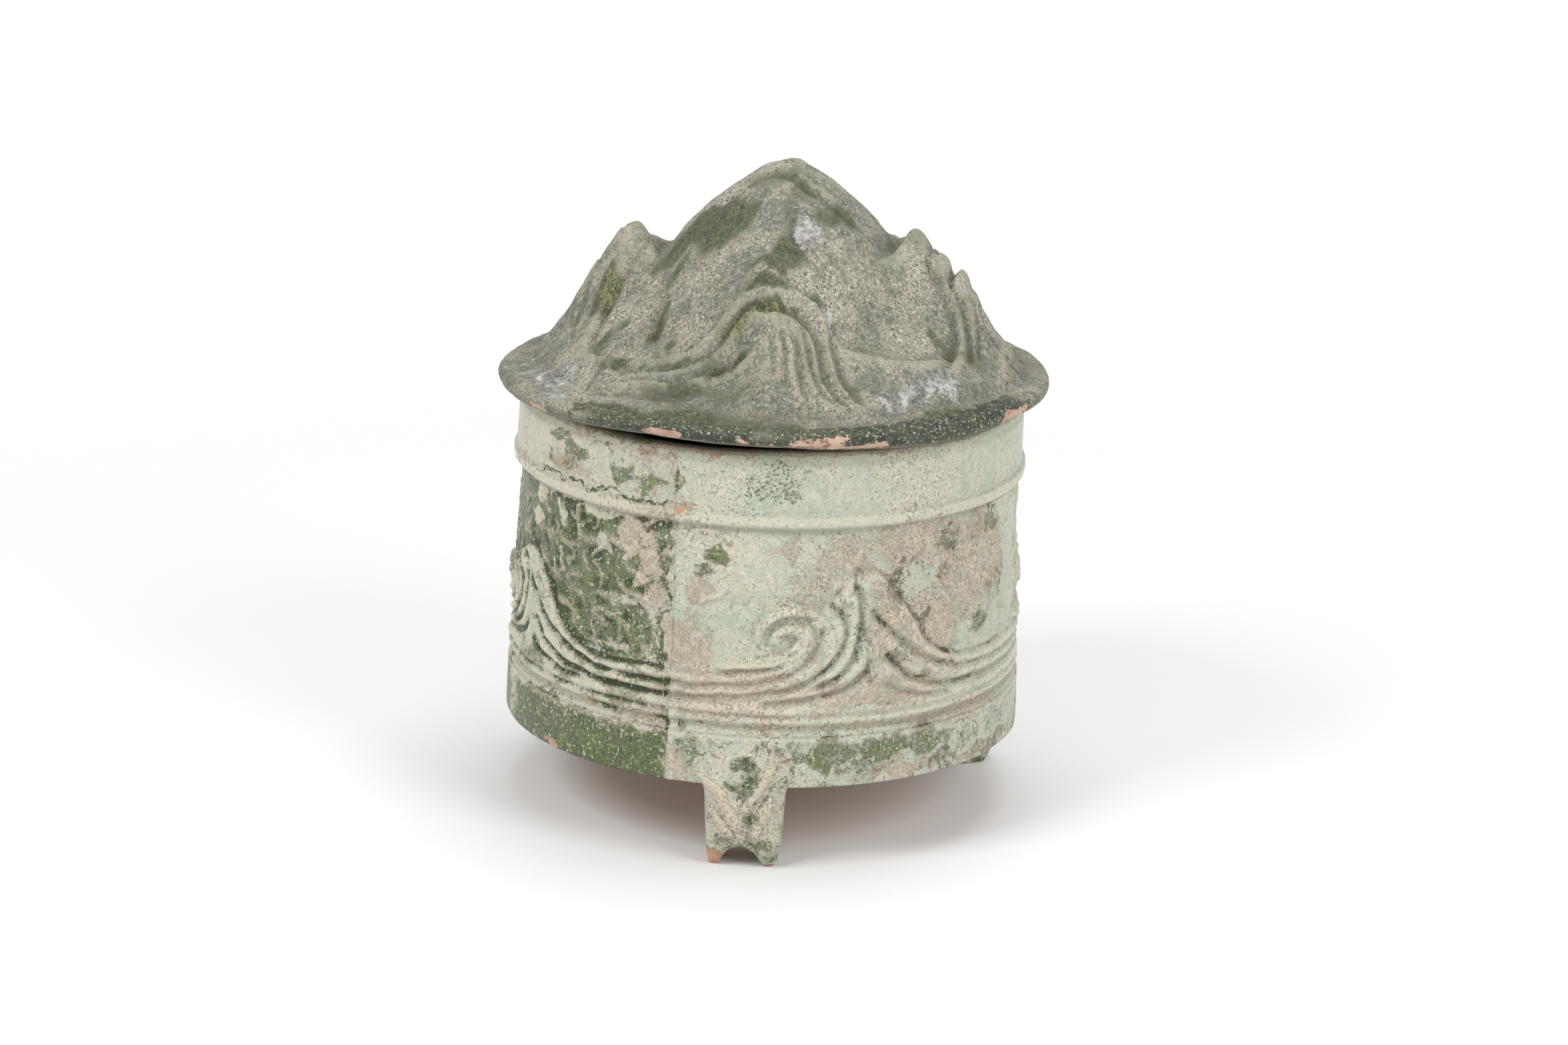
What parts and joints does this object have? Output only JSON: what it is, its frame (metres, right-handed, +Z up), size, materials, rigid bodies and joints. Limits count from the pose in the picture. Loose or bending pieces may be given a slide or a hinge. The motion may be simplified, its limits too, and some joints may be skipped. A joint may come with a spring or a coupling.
{
  "type": "lidded tripod jar",
  "caption": "Cylindrical glazed earthenware jar on three bear feet, with a hollow lift-off lid pressed as a range of hills; holds dry stores.",
  "frame": {"origin": "on the ground, under the middle of the jar", "axes": "+Z up along the jar's axis; the front foot is on -Y"},
  "size_m": [0.202, 0.202, 0.2373],
  "materials": {
    "green_glaze": "lead glaze, worn and crazed, pale where it has decayed",
    "pale_glaze": "decayed lead glaze, satin, with green and bare patches",
    "bare_clay": "unglazed reddish earthenware, matt",
    "lid_glaze": "dark green lead glaze under a grey-brown soil crust"
  },
  "bodies": {
    "jar": {"wall_left": "green_glaze", "wall_right": "pale_glaze", "base_disc": "bare_clay", "corner_coil": "bare_clay", "foot_front": "pale_glaze", "foot_right": "green_glaze", "foot_left": "green_glaze"},
    "lid": {"hill_lid": "lid_glaze"}
  },
  "joints": [
    {"name": "lid_lift", "type": "slide", "parent": "jar", "child": "lid", "axis": [0, 0, 1], "range_m": [0, 0.16]}
  ]
}
